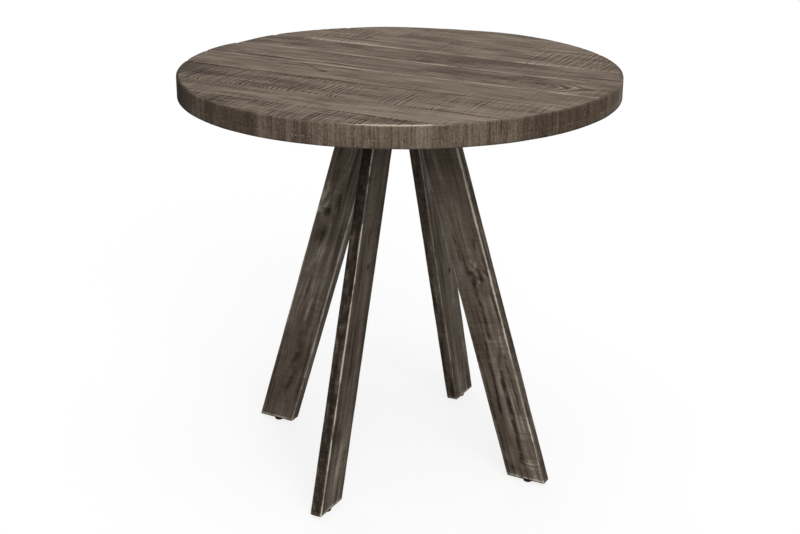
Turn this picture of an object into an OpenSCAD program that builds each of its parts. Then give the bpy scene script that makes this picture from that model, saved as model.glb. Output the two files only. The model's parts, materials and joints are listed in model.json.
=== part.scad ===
// A round dining table: a boarded wooden top on four splayed plank legs with levelling feet.
// +Z is up, +X runs along the top boards, and the origin is on the floor below the middle.
// The legs stand on the axes: right on +X, rear on +Y, left on -X and front on -Y.

/* [Top] */
// Height of the top's surface above the floor
table_h = 765; // [700:5:800]
// Diameter of the round top
top_d = 800; // [720:10:1000]
// Thickness of the top boards
board_t = 25; // [20:1:32]
// Distance from the middle to the joint behind the front board
first_joint = 316; // [300:2:330]
// Widths of the boards behind that joint, from front to rear
board_widths = [77, 116, 87, 99, 95, 131]; // [70:1:135]
// Bevel along the upper edges of each board
board_bevel = 1.5; // [0.5:0.1:3]
// Rounding of the rim's upper and lower edge
rim_round = 2; // [1:0.5:5]

/* [Build-up under the top] */
// Thickness of the ring that makes the rim look thick
ring_t = 15; // [10:1:25]
// Width of the ring, from the rim inwards
ring_w = 70; // [50:5:90]
// Thickness of the two battens that keep the boards flat
batten_t = 15; // [10:1:20]
// Width of a batten
batten_w = 60; // [40:5:70]
// Distance from the middle to the middle of each batten
batten_x = 210; // [200:5:230]
// Space between a batten's end and the ring
batten_gap = 2; // [1:0.5:6]
// Thickness of the square pad that carries the steel plate
pad_t = 15; // [10:1:25]
// Width of the pad
pad_w = 300; // [260:10:320]

/* [Steel plate and shoes] */
// Width of the square mounting plate
plate_w = 240; // [220:10:260]
// Thickness of the mounting plate
plate_t = 5; // [4:0.5:8]
// Corner radius of the mounting plate
plate_round = 20; // [5:1:25]
// Sheet thickness of the U-shaped shoe around each leg's head
shoe_t = 4; // [3:0.5:5]
// Height of a shoe, from the plate down
shoe_h = 70; // [66:1:80]
// Size of the cut corners at the lower end of a shoe
shoe_corner = 10; // [2:1:14]
// Space between neighbouring shoes at the middle
head_gap = 3.75; // [2:0.25:12]

/* [Legs] */
// Width of a leg plank, in the plane of its splay
leg_w = 74; // [60:1:84]
// Thickness of a leg plank
leg_t = 24; // [20:1:30]
// Lean of each leg from upright, in degrees
leg_splay = 17.2; // [12:0.1:20]
// Rounding of the planks' long edges
leg_round = 2.5; // [1:0.5:6]

/* [Fasteners] */
// Diameter of the bolts through the shoes and legs
bolt_d = 8; // [6:1:10]
// Width across the flats of the bolt heads and nuts
bolt_flats = 13; // [11:1:16]
// Height of a bolt head
bolt_head_h = 5.3; // [4:0.1:7]
// Height of a nut
nut_h = 8; // [5:0.5:10]
// Length of thread that stands out of a nut
bolt_end = 2; // [1:0.5:5]
// Diameter of a washer
washer_d = 16; // [15:1:20]
// Thickness of a washer
washer_t = 1.6; // [1:0.1:2.5]
// Distance from a leg's head down to its upper bolt
bolt_drop = 22; // [18:1:26]
// Distance between a leg's two bolts, measured upright
bolt_pitch = 28; // [22:1:32]
// Diameter of the wood screws
screw_d = 5; // [3.5:0.5:6]
// Length of screw that bites into the top boards
screw_bite = 14; // [8:1:17]
// Diameter of a screw's pan head
screw_head_d = 10; // [8:0.5:12]
// Height of a screw's pan head
screw_head_h = 3; // [2:0.5:4]
// Distance from the plate's edge to its screws
plate_screw_inset = 18; // [10:1:22]
// Distance from the plate's centre lines to its screws
plate_screw_side = 50; // [40:1:55]

/* [Levelling feet] */
// Diameter of a foot's plastic sole
sole_d = 18; // [14:1:22]
// Height of a sole
sole_h = 4.5; // [4:0.5:8]
// Rounding of a sole's lower edge
sole_round = 3; // [1:0.5:3.5]
// Diameter of the foot's threaded stud
stud_d = 8; // [6:1:9]
// Length of stud above its hexagonal collar
stud_l = 24; // [20:1:30]
// Thickness of the stud's hexagonal collar
collar_t = 2; // [1.5:0.5:4]
// Width across the flats of the collar
collar_flats = 12; // [11:1:14]
// Depth of the socket in the sole that holds the stud's end
socket_depth = 3; // [1.5:0.5:3]
// Diameter of the threaded insert in a leg
insert_d = 12; // [11:0.5:14]
// Length of the threaded insert
insert_l = 20; // [15:1:24]
// Diameter of the insert's flange
flange_d = 17; // [15:0.5:19]
// Thickness of the insert's flange
flange_t = 1.5; // [1:0.5:3]

/* [Clearances] */
// Radial clearance of a bolt or screw in a drilled hole
hole_fit = 0.5; // [0.2:0.1:1]
// Radial clearance of a thread, and of an insert in its hole
thread_fit = 0.05; // [0.02:0.01:0.1]
// Space above and below the stud's collar, which turns freely
turn_gap = 0.25; // [0.1:0.05:0.5]
// Depth of a drilled hole beyond the end of what it holds
hole_end = 2; // [1:0.5:4]

/* [Hidden] */
$fn = 96;

// Numbers of the legs, counted anticlockwise from +X
RIGHT = 0;
REAR = 1;
LEFT = 2;
FRONT = 3;
LEGS = [RIGHT, REAR, LEFT, FRONT];
RIM_SEGMENTS = 8;

// Longer than any piece that it cuts
beyond = 2 * top_d;
// How far a cut runs past the face that it opens
over = 1;

// Levels above the floor
board_under = table_h - board_t;
ring_under = board_under - ring_t;
batten_under = board_under - batten_t;
pad_under = board_under - pad_t;
plate_under = pad_under - plate_t;
leg_top = plate_under - shoe_t;
collar_under = sole_h + turn_gap;
collar_top = collar_under + collar_t;
leg_bottom = collar_top + turn_gap;

// Joints between the top boards, from front to rear, as places along Y
function joint_y(i) = i == 0 ? -first_joint : joint_y(i - 1) + board_widths[i - 1];
joint_count = len(board_widths) + 1;
joints = [for (i = [0 : joint_count - 1]) joint_y(i)];
board_edges = concat([-top_d], joints, [top_d]);

// A leg's centre line and its width are taken level, because its ends are cut level
leg_half = leg_w / 2 / cos(leg_splay);
shoe_half = leg_t / 2 + shoe_t;
leg_head_r = shoe_half + head_gap + leg_half + shoe_t * tan(leg_splay);
function leg_r(z) = leg_head_r + (leg_top - z) * tan(leg_splay);
foot_r = leg_r(leg_bottom);
leg_length = (leg_top - leg_bottom) / cos(leg_splay);
bolt_levels = [leg_top - bolt_drop, leg_top - bolt_drop - bolt_pitch];

// Half the length of a batten, whose outer corners stay clear of the ring
ring_inner_r = top_d / 2 - ring_w;
batten_half = sqrt(pow(ring_inner_r - batten_gap, 2) - pow(batten_x + batten_w / 2, 2));

// Screws through a batten: one in the middle of each board's width over the batten
batten_reach = batten_half - batten_w / 4;
batten_cuts = concat([-batten_reach], [for (y = joints) if (abs(y) < batten_reach) y], [batten_reach]);
batten_screw_y = [for (i = [1 : len(batten_cuts) - 1]) (batten_cuts[i] + batten_cuts[i - 1]) / 2];
plate_screw_far = plate_w / 2 - plate_screw_inset;

wood_top = "#6f655a";
wood_rim = "#5f564c";
wood_leg = "#4d453c";
wood_plain = "#8a7a66";
steel_black = "#2b2b2c";
steel_zinc = "#a9acae";
plastic_black = "#161616";

// A rectangle with round corners
module rounded_rectangle(width, depth, radius) {
    square([width - 2 * radius, depth], center = true);
    square([width, depth - 2 * radius], center = true);
    for (x = [-1, 1], y = [-1, 1])
        translate([x * (width / 2 - radius), y * (depth / 2 - radius)])
            circle(radius);
}

// A disc, t thick from z = 0 up, whose one edge is rounded
module disc(radius, t, edge_round, round_top) {
    flat_low = round_top ? 0 : edge_round;
    arc_z = round_top ? t - edge_round : edge_round;
    rotate_extrude()
        union() {
            square([radius - edge_round, t]);
            translate([0, flat_low])
                square([radius, t - edge_round]);
            intersection() {
                translate([radius - edge_round, arc_z])
                    circle(edge_round);
                square([radius, t]);
            }
        }
}

// Where the screws of the mounting plate stand
module at_plate_screws() {
    for (x = [-1, 1], y = [-1, 1]) {
        translate([x * plate_screw_far, y * plate_screw_side, 0])
            children();
        translate([x * plate_screw_side, y * plate_screw_far, 0])
            children();
    }
}

// Where the screws of one batten stand, side 1 for the right one and -1 for the left
module at_batten_screws(side) {
    for (y = batten_screw_y)
        translate([side * batten_x, y, 0])
            children();
}

// Where the two bolts of one leg stand, with Z along the bolt
module at_leg_bolts(leg) {
    rotate([0, 0, 90 * leg])
        for (z = bolt_levels)
            translate([leg_r(z), 0, z])
                rotate([90, 0, 0])
                    children();
}

// The upright axis of one foot
module at_foot(leg) {
    rotate([0, 0, 90 * leg])
        translate([foot_r, 0, 0])
            children();
}

// Pilot holes for every screw that bites into the boards
module pilot_holes() {
    depth = screw_bite + hole_end;
    translate([0, 0, board_under]) {
        at_plate_screws()
            translate([0, 0, -over])
                cylinder(h = depth + over, d = screw_d + 2 * thread_fit);
        for (side = [-1, 1])
            at_batten_screws(side)
                translate([0, 0, -over])
                    cylinder(h = depth + over, d = screw_d + 2 * thread_fit);
    }
}

// A board of the top, number 1 at the front, cut to the round and drilled
module top_board(number) {
    low = board_edges[number - 1];
    high = board_edges[number];
    width = high - low;
    profile = [
        [0, 0],
        [width, 0],
        [width, board_t - board_bevel],
        [width - board_bevel, board_t],
        [board_bevel, board_t],
        [0, board_t - board_bevel]
    ];
    color(wood_top)
        difference() {
            intersection() {
                translate([-top_d, low, board_under])
                    rotate([90, 0, 90])
                        linear_extrude(height = beyond)
                            polygon(profile);
                translate([0, 0, board_under])
                    disc(top_d / 2, board_t, rim_round, true);
            }
            pilot_holes();
        }
}

// A piece of the ring under the rim, number 1 starting at +X
module rim_segment(number) {
    turn = 360 / RIM_SEGMENTS;
    color(wood_rim)
        translate([0, 0, ring_under])
            rotate([0, 0, (number - 1) * turn])
                rotate_extrude(angle = turn)
                    intersection() {
                        translate([ring_inner_r, 0])
                            square([ring_w, ring_t]);
                        union() {
                            square([top_d / 2 - rim_round, ring_t]);
                            translate([0, rim_round])
                                square([top_d / 2, ring_t - rim_round]);
                            translate([top_d / 2 - rim_round, rim_round])
                                circle(rim_round);
                        }
                    }
}

// The square wooden pad under the middle of the top
module centre_pad() {
    color(wood_plain)
        difference() {
            translate([-pad_w / 2, -pad_w / 2, pad_under])
                cube([pad_w, pad_w, pad_t]);
            at_plate_screws()
                translate([0, 0, pad_under - over])
                    cylinder(h = pad_t + 2 * over, d = screw_d + 2 * hole_fit);
        }
}

// A batten across the boards, side 1 for the right one and -1 for the left
module batten(side) {
    color(wood_plain)
        difference() {
            translate([side * batten_x - batten_w / 2, -batten_half, batten_under])
                cube([batten_w, 2 * batten_half, batten_t]);
            at_batten_screws(side)
                translate([0, 0, batten_under - over])
                    cylinder(h = batten_t + 2 * over, d = screw_d + 2 * hole_fit);
        }
}

// The steel plate that the shoes are welded to
module mounting_plate() {
    color(steel_black)
        difference() {
            translate([0, 0, plate_under])
                linear_extrude(height = plate_t)
                    rounded_rectangle(plate_w, plate_w, plate_round);
            at_plate_screws()
                translate([0, 0, plate_under - over])
                    cylinder(h = plate_t + 2 * over, d = screw_d + 2 * hole_fit);
        }
}

// The shape of a shoe's cheek, seen from the side and leaning with the leg
module cheek_outline() {
    low = plate_under - shoe_h;
    polygon([
        [leg_r(plate_under) - leg_half, plate_under],
        [leg_r(plate_under) + leg_half, plate_under],
        [leg_r(low + shoe_corner) + leg_half, low + shoe_corner],
        [leg_r(low) + leg_half - shoe_corner, low],
        [leg_r(low) - leg_half + shoe_corner, low],
        [leg_r(low + shoe_corner) - leg_half, low + shoe_corner]
    ]);
}

// A folded steel shoe: a base against the plate and a cheek on each side of the leg
module leg_shoe(leg) {
    color(steel_black)
        difference() {
            rotate([0, 0, 90 * leg])
                union() {
                    translate([leg_r(plate_under) - leg_half, -leg_t / 2, leg_top])
                        cube([2 * leg_half, leg_t, shoe_t]);
                    for (y = [-shoe_half, leg_t / 2])
                        translate([0, y + shoe_t, 0])
                            rotate([90, 0, 0])
                                linear_extrude(height = shoe_t)
                                    cheek_outline();
                }
            at_leg_bolts(leg)
                cylinder(h = 4 * shoe_half, d = bolt_d + 2 * hole_fit, center = true);
        }
}

// A plank leg that leans outwards, with its ends cut level
module plank_leg(leg) {
    insert_hole = insert_d + 2 * thread_fit;
    stud_hole = stud_d + 2 * hole_fit;
    stud_hole_top = collar_top + stud_l + hole_end;
    color(wood_leg)
        difference() {
            rotate([0, 0, 90 * leg])
                intersection() {
                    translate([leg_head_r, 0, leg_top])
                        rotate([0, -leg_splay, 0])
                            translate([0, 0, -leg_length - leg_w])
                                linear_extrude(height = leg_length + 2 * leg_w)
                                    rounded_rectangle(leg_w, leg_t, leg_round);
                    translate([-beyond / 2, -beyond / 2, leg_bottom])
                        cube([beyond, beyond, leg_top - leg_bottom]);
                }
            at_leg_bolts(leg)
                cylinder(h = 4 * shoe_half, d = bolt_d + 2 * hole_fit, center = true);
            at_foot(leg) {
                translate([0, 0, leg_bottom - over])
                    cylinder(h = flange_t + over, d = flange_d + 2 * thread_fit);
                translate([0, 0, leg_bottom - over])
                    cylinder(h = insert_l + over, d = insert_hole);
                translate([0, 0, leg_bottom])
                    cylinder(h = stud_hole_top - leg_bottom, d = stud_hole);
            }
        }
}

// The threaded insert, flush with the end of a leg
module foot_insert(leg) {
    color(steel_zinc)
        at_foot(leg)
            difference() {
                translate([0, 0, leg_bottom])
                    union() {
                        cylinder(h = insert_l, d = insert_d);
                        cylinder(h = flange_t, d = flange_d);
                    }
                translate([0, 0, leg_bottom - over])
                    cylinder(h = insert_l + 2 * over, d = stud_d + 2 * thread_fit);
            }
}

// The stud of a foot, with the collar that a spanner turns
module foot_stud(leg) {
    end_z = sole_h - socket_depth + turn_gap;
    color(steel_black)
        at_foot(leg)
            union() {
                translate([0, 0, end_z])
                    cylinder(h = collar_top + stud_l - end_z, d = stud_d);
                translate([0, 0, collar_under])
                    cylinder(h = collar_t, d = collar_flats / cos(30), $fn = 6);
            }
}

// The plastic sole that turns on the stud's end and rests on the floor
module foot_sole(leg) {
    color(plastic_black)
        at_foot(leg)
            difference() {
                disc(sole_d / 2, sole_h, sole_round, false);
                translate([0, 0, sole_h - socket_depth])
                    cylinder(h = socket_depth + over, d = stud_d + 2 * thread_fit);
            }
}

// A pan-headed wood screw, head down, whose shank starts at z = 0
module wood_screw(grip) {
    translate([0, 0, -screw_head_h])
        cylinder(h = screw_head_h, d = screw_head_d);
    cylinder(h = grip + screw_bite, d = screw_d);
}

// The screws that hold the plate and the pad to the boards
module plate_screws() {
    color(steel_zinc)
        at_plate_screws()
            translate([0, 0, plate_under])
                wood_screw(plate_t + pad_t);
}

// The screws that hold the battens to the boards
module batten_screws() {
    color(steel_zinc)
        for (side = [-1, 1])
            at_batten_screws(side)
                translate([0, 0, batten_under])
                    wood_screw(batten_t);
}

// The bolts that clamp each shoe on its leg, heads on one side
module leg_bolts() {
    shank = 2 * (shoe_half + washer_t) + nut_h + bolt_end;
    color(steel_zinc)
        for (leg = LEGS)
            at_leg_bolts(leg)
                translate([0, 0, shoe_half + washer_t]) {
                    cylinder(h = bolt_head_h, d = bolt_flats / cos(30), $fn = 6);
                    translate([0, 0, -shank])
                        cylinder(h = shank, d = bolt_d);
                }
}

// A washer under each bolt head and each nut
module leg_washers() {
    color(steel_zinc)
        for (leg = LEGS, side = [-1, 1])
            at_leg_bolts(leg)
                translate([0, 0, side * (shoe_half + washer_t / 2)])
                    difference() {
                        cylinder(h = washer_t, d = washer_d, center = true);
                        cylinder(h = washer_t + 2 * over, d = bolt_d + 2 * thread_fit, center = true);
                    }
}

// A nut on the end of each bolt
module leg_nuts() {
    color(steel_zinc)
        for (leg = LEGS)
            at_leg_bolts(leg)
                translate([0, 0, -shoe_half - washer_t - nut_h])
                    difference() {
                        cylinder(h = nut_h, d = bolt_flats / cos(30), $fn = 6);
                        translate([0, 0, -over])
                            cylinder(h = nut_h + 2 * over, d = bolt_d + 2 * thread_fit);
                    }
}

top_board(1);  // top_board_1
top_board(2);  // top_board_2
top_board(3);  // top_board_3
top_board(4);  // top_board_4
top_board(5);  // top_board_5
top_board(6);  // top_board_6
top_board(7);  // top_board_7
top_board(8);  // top_board_8
rim_segment(1);  // rim_segment_1
rim_segment(2);  // rim_segment_2
rim_segment(3);  // rim_segment_3
rim_segment(4);  // rim_segment_4
rim_segment(5);  // rim_segment_5
rim_segment(6);  // rim_segment_6
rim_segment(7);  // rim_segment_7
rim_segment(8);  // rim_segment_8
centre_pad();
batten(-1);  // batten_left
batten(1);  // batten_right
mounting_plate();
leg_shoe(RIGHT);  // leg_shoe_right
leg_shoe(REAR);  // leg_shoe_rear
leg_shoe(LEFT);  // leg_shoe_left
leg_shoe(FRONT);  // leg_shoe_front
plank_leg(RIGHT);  // leg_right
plank_leg(REAR);  // leg_rear
plank_leg(LEFT);  // leg_left
plank_leg(FRONT);  // leg_front
foot_insert(RIGHT);  // foot_insert_right
foot_insert(REAR);  // foot_insert_rear
foot_insert(LEFT);  // foot_insert_left
foot_insert(FRONT);  // foot_insert_front
foot_stud(RIGHT);  // foot_stud_right
foot_stud(REAR);  // foot_stud_rear
foot_stud(LEFT);  // foot_stud_left
foot_stud(FRONT);  // foot_stud_front
foot_sole(RIGHT);  // foot_sole_right
foot_sole(REAR);  // foot_sole_rear
foot_sole(LEFT);  // foot_sole_left
foot_sole(FRONT);  // foot_sole_front
plate_screws();
batten_screws();
leg_bolts();
leg_washers();
leg_nuts();
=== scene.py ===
# %% [markdown]
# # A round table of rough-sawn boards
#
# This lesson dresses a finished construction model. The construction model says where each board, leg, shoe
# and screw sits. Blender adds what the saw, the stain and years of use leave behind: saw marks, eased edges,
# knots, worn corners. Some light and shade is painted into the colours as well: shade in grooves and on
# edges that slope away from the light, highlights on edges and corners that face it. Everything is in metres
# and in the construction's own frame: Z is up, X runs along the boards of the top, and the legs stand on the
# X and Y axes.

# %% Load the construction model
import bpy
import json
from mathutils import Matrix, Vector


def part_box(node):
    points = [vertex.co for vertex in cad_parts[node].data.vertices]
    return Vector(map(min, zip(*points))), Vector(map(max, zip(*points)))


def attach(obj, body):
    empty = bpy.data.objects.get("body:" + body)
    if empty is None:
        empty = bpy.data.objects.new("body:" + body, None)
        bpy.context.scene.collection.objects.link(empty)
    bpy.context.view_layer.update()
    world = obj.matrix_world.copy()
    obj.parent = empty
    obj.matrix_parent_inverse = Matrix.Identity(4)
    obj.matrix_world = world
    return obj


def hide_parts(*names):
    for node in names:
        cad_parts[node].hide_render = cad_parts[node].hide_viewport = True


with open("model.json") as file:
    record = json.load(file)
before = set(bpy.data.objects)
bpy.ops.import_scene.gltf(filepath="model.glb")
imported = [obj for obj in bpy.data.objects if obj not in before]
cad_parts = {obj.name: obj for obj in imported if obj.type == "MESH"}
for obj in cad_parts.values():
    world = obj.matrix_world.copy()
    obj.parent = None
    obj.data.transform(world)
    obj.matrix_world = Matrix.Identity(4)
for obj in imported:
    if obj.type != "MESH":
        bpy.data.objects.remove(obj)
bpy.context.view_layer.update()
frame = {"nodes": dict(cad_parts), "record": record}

# %% [markdown]
# ## Measure before making
#
# Every new piece takes its size from the part that it stands for. The places below are in millimetres,
# because a maker thinks of a board as 25 mm thick, and they become metres when a mesh is built.

# %% Read the sizes of the boards, the ring and the legs
import json
import math
import bmesh
import bpy
import mathutils
import numpy as np

MM = 0.001


def box_mm(node):
    """Lowest and highest corner of a construction part, in millimetres."""
    low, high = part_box(node)
    return np.array(low) / MM, np.array(high) / MM


BOARDS = range(1, 9)
board_boxes = {n: box_mm(f"top_board_{n}") for n in BOARDS}
TABLE_TOP = board_boxes[4][1][2]
BOARD_UNDER = board_boxes[4][0][2]
TOP_RADIUS = board_boxes[8][1][1]
RING_UNDER = box_mm("rim_segment_1")[0][2]
RING_WIDTH = 70.0
RIM_ROUND = 2.0
LEG_LOW, LEG_HIGH = box_mm("leg_right")
LEG_WIDTH = 74.0
LEG_THICK = LEG_HIGH[1] - LEG_LOW[1]
LEG_ROUND = 2.5
LEG_LEVEL_HALF = 38.73
LEG_TAN = (LEG_HIGH[0] - LEG_LOW[0] - 2 * LEG_LEVEL_HALF) / (LEG_HIGH[2] - LEG_LOW[2])
print("top", TABLE_TOP, "radius", TOP_RADIUS, "ring under", RING_UNDER)
print("leg ends", LEG_LOW[2], LEG_HIGH[2], "lean", math.degrees(math.atan(LEG_TAN)))

# %% [markdown]
# ## The camera
#
# The view is that of a standing person a few steps away: 20 degrees down, with a long lens, so the round top
# shows as a flat oval. The camera's turn is written as angles in radians, and these give three unit
# vectors: right, up and forward. A "look at" constraint could turn the camera too, but plain vectors give
# exactly the same picture on each run.

# %% Set the camera up
CAMERA_PLACE = (1.2144, -2.2822, 1.3377)
CAMERA_TURN = 0.489
CAMERA_YAW = 0.0007
CAMERA_DOWN = 0.35367
CAMERA_ROLL = 0.00404
CAMERA_LENS = 65.44
SENSOR_WIDTH = 36.0


def turned(points, c, s):
    """Points turned about Z: x and y mix by the cosine c and the sine s of the angle."""
    x, y, z = np.moveaxis(points, -1, 0)
    return np.stack([c * x - s * y, s * x + c * y, z], axis=-1)


def stand_up(name, data, axes, place):
    """Puts a camera or a lamp up. The columns of its matrix are its three axes and its place."""
    matrix = np.eye(4)
    matrix[:3] = np.column_stack([*axes, place])
    made = bpy.data.objects.new(name, data)
    made.matrix_world = mathutils.Matrix(matrix)
    bpy.context.scene.collection.objects.link(made)
    return made


def stand_camera():
    """Forward, right and up vectors from sines and cosines, rolled about the view line, turned about Z."""
    cy, sy = math.cos(CAMERA_YAW), math.sin(CAMERA_YAW)
    cd, sd = math.cos(CAMERA_DOWN), math.sin(CAMERA_DOWN)
    cr, sr = math.cos(CAMERA_ROLL), math.sin(CAMERA_ROLL)
    forward = np.array([sy * cd, cy * cd, -sd])
    right = np.array([cy, -sy, 0.0])
    up = np.cross(right, forward)
    axes = np.array([right * cr + up * sr, up * cr - right * sr, -forward])
    data = bpy.data.cameras.new("view")
    data.lens = CAMERA_LENS
    data.sensor_width = SENSOR_WIDTH
    axes = turned(axes, math.cos(CAMERA_TURN), math.sin(CAMERA_TURN))
    bpy.context.scene.camera = stand_up("view", data, axes, CAMERA_PLACE)


stand_camera()
print("camera at", CAMERA_PLACE)

# %% [markdown]
# ## Chance that stays the same
#
# Wood is never even. Its unevenness can be made from tables of random numbers. Each table has its own seed,
# so the same saw marks come out on every run. Two patterns do nearly all the work here: a soft drift for
# stain, warp and grain, and a row of scored lines for the marks of the saw.

# %% Make the curves, the drift and the scored lines
TABLE = 512


def bell(t, centre, width):
    """A bell curve of height 1: e to the minus square of the distance over the width."""
    return np.exp(-(((t - centre) / width) ** 2))


def spot(x, y, centre_x, centre_y, half_x, half_y):
    """An oval bell curve: e to the minus sum of both distances, each over its width and squared."""
    return np.exp(-(((x - centre_x) / half_x) ** 2) - ((y - centre_y) / half_y) ** 2)


def ramp(t, start, end):
    """Climbs smoothly from 0 at start to 1 at end: three times the square less twice the cube."""
    s = np.clip((t - start) / (end - start), 0, 1)
    return s * s * (3 - 2 * s)


def drift(u, v, seed):
    """Soft noise from -1 to 1: a random number at every whole (u, v), blended between by a smooth step."""
    table = np.random.default_rng(seed).uniform(-1, 1, (TABLE, TABLE))
    iu, iv = np.floor(u).astype(int), np.floor(v).astype(int)
    fu, fv = ramp(u - iu, 0, 1), ramp(v - iv, 0, 1)
    near = table[iu % TABLE, iv % TABLE] * (1 - fv) + table[iu % TABLE, (iv + 1) % TABLE] * fv
    far = table[(iu + 1) % TABLE, iv % TABLE] * (1 - fv) + table[(iu + 1) % TABLE, (iv + 1) % TABLE] * fv
    return near * (1 - fu) + far * fu


def uneven(u, v, seed, middle, swing, least, most):
    """A middle value that drifts up and down by the swing, kept between the least and the most."""
    return np.clip(middle + swing * drift(u, v, seed), least, most)


def scored(t, spacing, width, seed, least=0.0):
    """Depth from 0 to 1 of lines about one spacing apart, each a bell curve at a jittered place."""
    rng = np.random.default_rng(seed)
    place = rng.uniform(0.15, 0.85, TABLE)
    depth = least + (1 - least) * rng.random(TABLE) ** 1.3
    cell = np.floor(t / spacing).astype(int)
    deep = np.zeros(np.shape(t))
    for step in (-1, 0, 1):
        line = (cell + step) % TABLE
        centre = (cell + step + place[line]) * spacing
        deep = np.maximum(deep, depth[line] * bell(t, centre, width))
    return deep


print("drift in", drift(np.arange(3) * 0.4, np.zeros(3), 1))

# %% [markdown]
# ## From arrays to a mesh
#
# A piece is a few grids of points: the face, its walls, the underside. They are gathered in a shell, with
# the marks that each point carries and the number of the finish that each face takes. Blender's own Grid
# could give a face, but not one whose walls follow a rounded rim.

# %% Gather the grids of a piece


class Shell:
    """Grids and caps of one piece, gathered before they are welded."""

    def __init__(self):
        self.points = []
        self.values = []
        self.quads = []
        self.kinds = []
        self.caps = []
        self.count = 0

    def faces(self, quads, kind):
        """Adds four-cornered faces of one finish, given by the numbers of their corners."""
        self.quads.append(quads)
        self.kinds.append(np.full(len(quads), kind))

    def grid(self, points, values, kind=0):
        """Adds a grid of points, rows x columns x 3, with a value of each mark at each point."""
        rows, columns = points.shape[:2]
        at = self.count + np.arange(rows * columns).reshape(rows, columns)
        corners = [at[:-1, :-1], at[:-1, 1:], at[1:, 1:], at[1:, :-1]]
        self.points.append(points.reshape(-1, 3))
        self.values.append({k: np.broadcast_to(v, (rows, columns)).ravel() for k, v in values.items()})
        self.faces(np.stack(corners, axis=-1).reshape(-1, 4), kind)
        self.count += rows * columns
        return at

    def cap(self, corners, kind=0):
        """Adds one flat face with any number of corners."""
        self.caps.append((np.asarray(corners), kind))


# %% [markdown]
# ## Weld the shell
#
# Points that fall together are welded, so the shell is closed, and cells that fall flat at a corner become
# triangles or go. Blender could weld with a modifier, but doing it on the arrays keeps the finished mesh
# free of live modifiers.

# %% Weld a shell and build its mesh
WELD = 0.004
CREASE = math.radians(40)


def weld(shell):
    """Numbers the points anew, so that those within a few thousandths of a millimetre share one number."""
    points = np.concatenate(shell.points)
    keys = np.round(points / WELD).astype(np.int64)
    _, first, new = np.unique(keys, axis=0, return_index=True, return_inverse=True)
    new = new.ravel()
    values = {k: np.concatenate([v[k] for v in shell.values])[first] for k in shell.values[0]}
    quads = new[np.concatenate(shell.quads)]
    kinds = np.concatenate(shell.kinds)
    same = quads == np.roll(quads, -1, axis=1)
    flat = same.sum(axis=1)
    faces = [quads[flat == 0]]
    face_kinds = [kinds[flat == 0]]
    for side in range(4):
        three = same[:, side] & (flat == 1)
        faces.append(np.delete(quads[three], side, axis=1))
        face_kinds.append(kinds[three])
    for corners, kind in shell.caps:
        ring = new[corners]
        ring = ring[ring != np.roll(ring, 1)]
        faces.append(ring[None, :])
        face_kinds.append(np.array([kind]))
    return points[first], values, faces, np.concatenate(face_kinds)


def build(name, shell, finishes):
    """Puts a welded shell into a mesh object with its marks as attributes and its faces turned outwards."""
    points, values, faces, kinds = weld(shell)
    corners = np.concatenate([f.ravel() for f in faces])
    sizes = np.concatenate([np.full(len(f), f.shape[1]) for f in faces])
    mesh = bpy.data.meshes.new(name)
    mesh.vertices.add(len(points))
    mesh.vertices.foreach_set("co", (points * MM).ravel())
    mesh.loops.add(len(corners))
    mesh.loops.foreach_set("vertex_index", corners.astype(np.int32))
    mesh.polygons.add(len(sizes))
    mesh.polygons.foreach_set("loop_start", (np.cumsum(sizes) - sizes).astype(np.int32))
    mesh.polygons.foreach_set("material_index", kinds.astype(np.int32))
    mesh.update(calc_edges=True)
    for mark, value in values.items():
        store = mesh.attributes.new(mark, "FLOAT", "POINT")
        store.data.foreach_set("value", value.astype(np.float32))
    turn_outwards(mesh)
    mesh.shade_smooth()
    mesh.set_sharp_from_angle(angle=CREASE)
    for finish in finishes:
        mesh.materials.append(finish)
    piece = bpy.data.objects.new(name, mesh)
    bpy.context.scene.collection.objects.link(piece)
    return piece


def turn_outwards(mesh):
    """Turns every face of a closed shell so that its front looks outwards."""
    work = bmesh.new()
    work.from_mesh(mesh)
    bmesh.ops.recalc_face_normals(work, faces=work.faces)
    open_edges = sum(1 for e in work.edges if len(e.link_faces) != 2)
    work.to_mesh(mesh)
    work.free()
    print(mesh.name, len(mesh.polygons), "faces, open edges:", open_edges)


# %% [markdown]
# ## A toolbox for nodes
#
# A finish is a small network of nodes. All its patterns read Object coordinates, or the marks and the grain
# that the mesh stores at each point, so they stick to the wood. The helpers add a node and link it in one
# line, which reads better than a page of single links.

# %% Helpers for nodes


def node(tree, kind, sockets=None, **settings):
    """Adds a node with its settings. A socket takes a plain value or the output of another node."""
    made = tree.nodes.new("ShaderNode" + kind)
    for key, value in settings.items():
        setattr(made, key, value)
    for key, value in (sockets or {}).items():
        feed(made.inputs[key], value)
    return made


def feed(socket, value):
    """Links another node's output to the socket, or sets the socket to a plain value."""
    if isinstance(value, bpy.types.NodeSocket):
        socket.id_data.links.new(value, socket)
    else:
        socket.default_value = value


def reckoned(tree, operation, *values):
    """Values joined by one step of reckoning, such as MULTIPLY or MAXIMUM."""
    return node(tree, "Math", dict(enumerate(values)), operation=operation).outputs[0]


def noise(tree, place, scale, detail=4.0, roughness=0.6, distortion=0.0):
    """Noise from 0 to 1 at a place on the table or on the grain. More scale along an axis makes it finer."""
    if place == "table":
        source = node(tree, "TexCoord").outputs["Object"]
    else:
        source = node(tree, "Attribute", attribute_name="grain").outputs["Vector"]
    stretched = node(tree, "Mapping", {"Vector": source, "Scale": scale}).outputs["Vector"]
    return node(tree, "TexNoise", {
        "Vector": stretched, "Scale": 1.0, "Detail": detail, "Roughness": roughness,
        "Distortion": distortion,
    }).outputs["Fac"]


def mark(tree, name):
    """A number that the mesh carries at each point."""
    return node(tree, "Attribute", attribute_name=name).outputs["Fac"]


# %% [markdown]
# ## Mixing a finish
#
# Most of a finish is a sum: so much fine grain, so much streak, a little less where stain was rubbed away.
# The same few patterns are summed three times, for the colour, the roughness and the relief, so one helper
# mixes every finish from tables of patterns and weights.

# %% Mix a finish from patterns and weights


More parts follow.
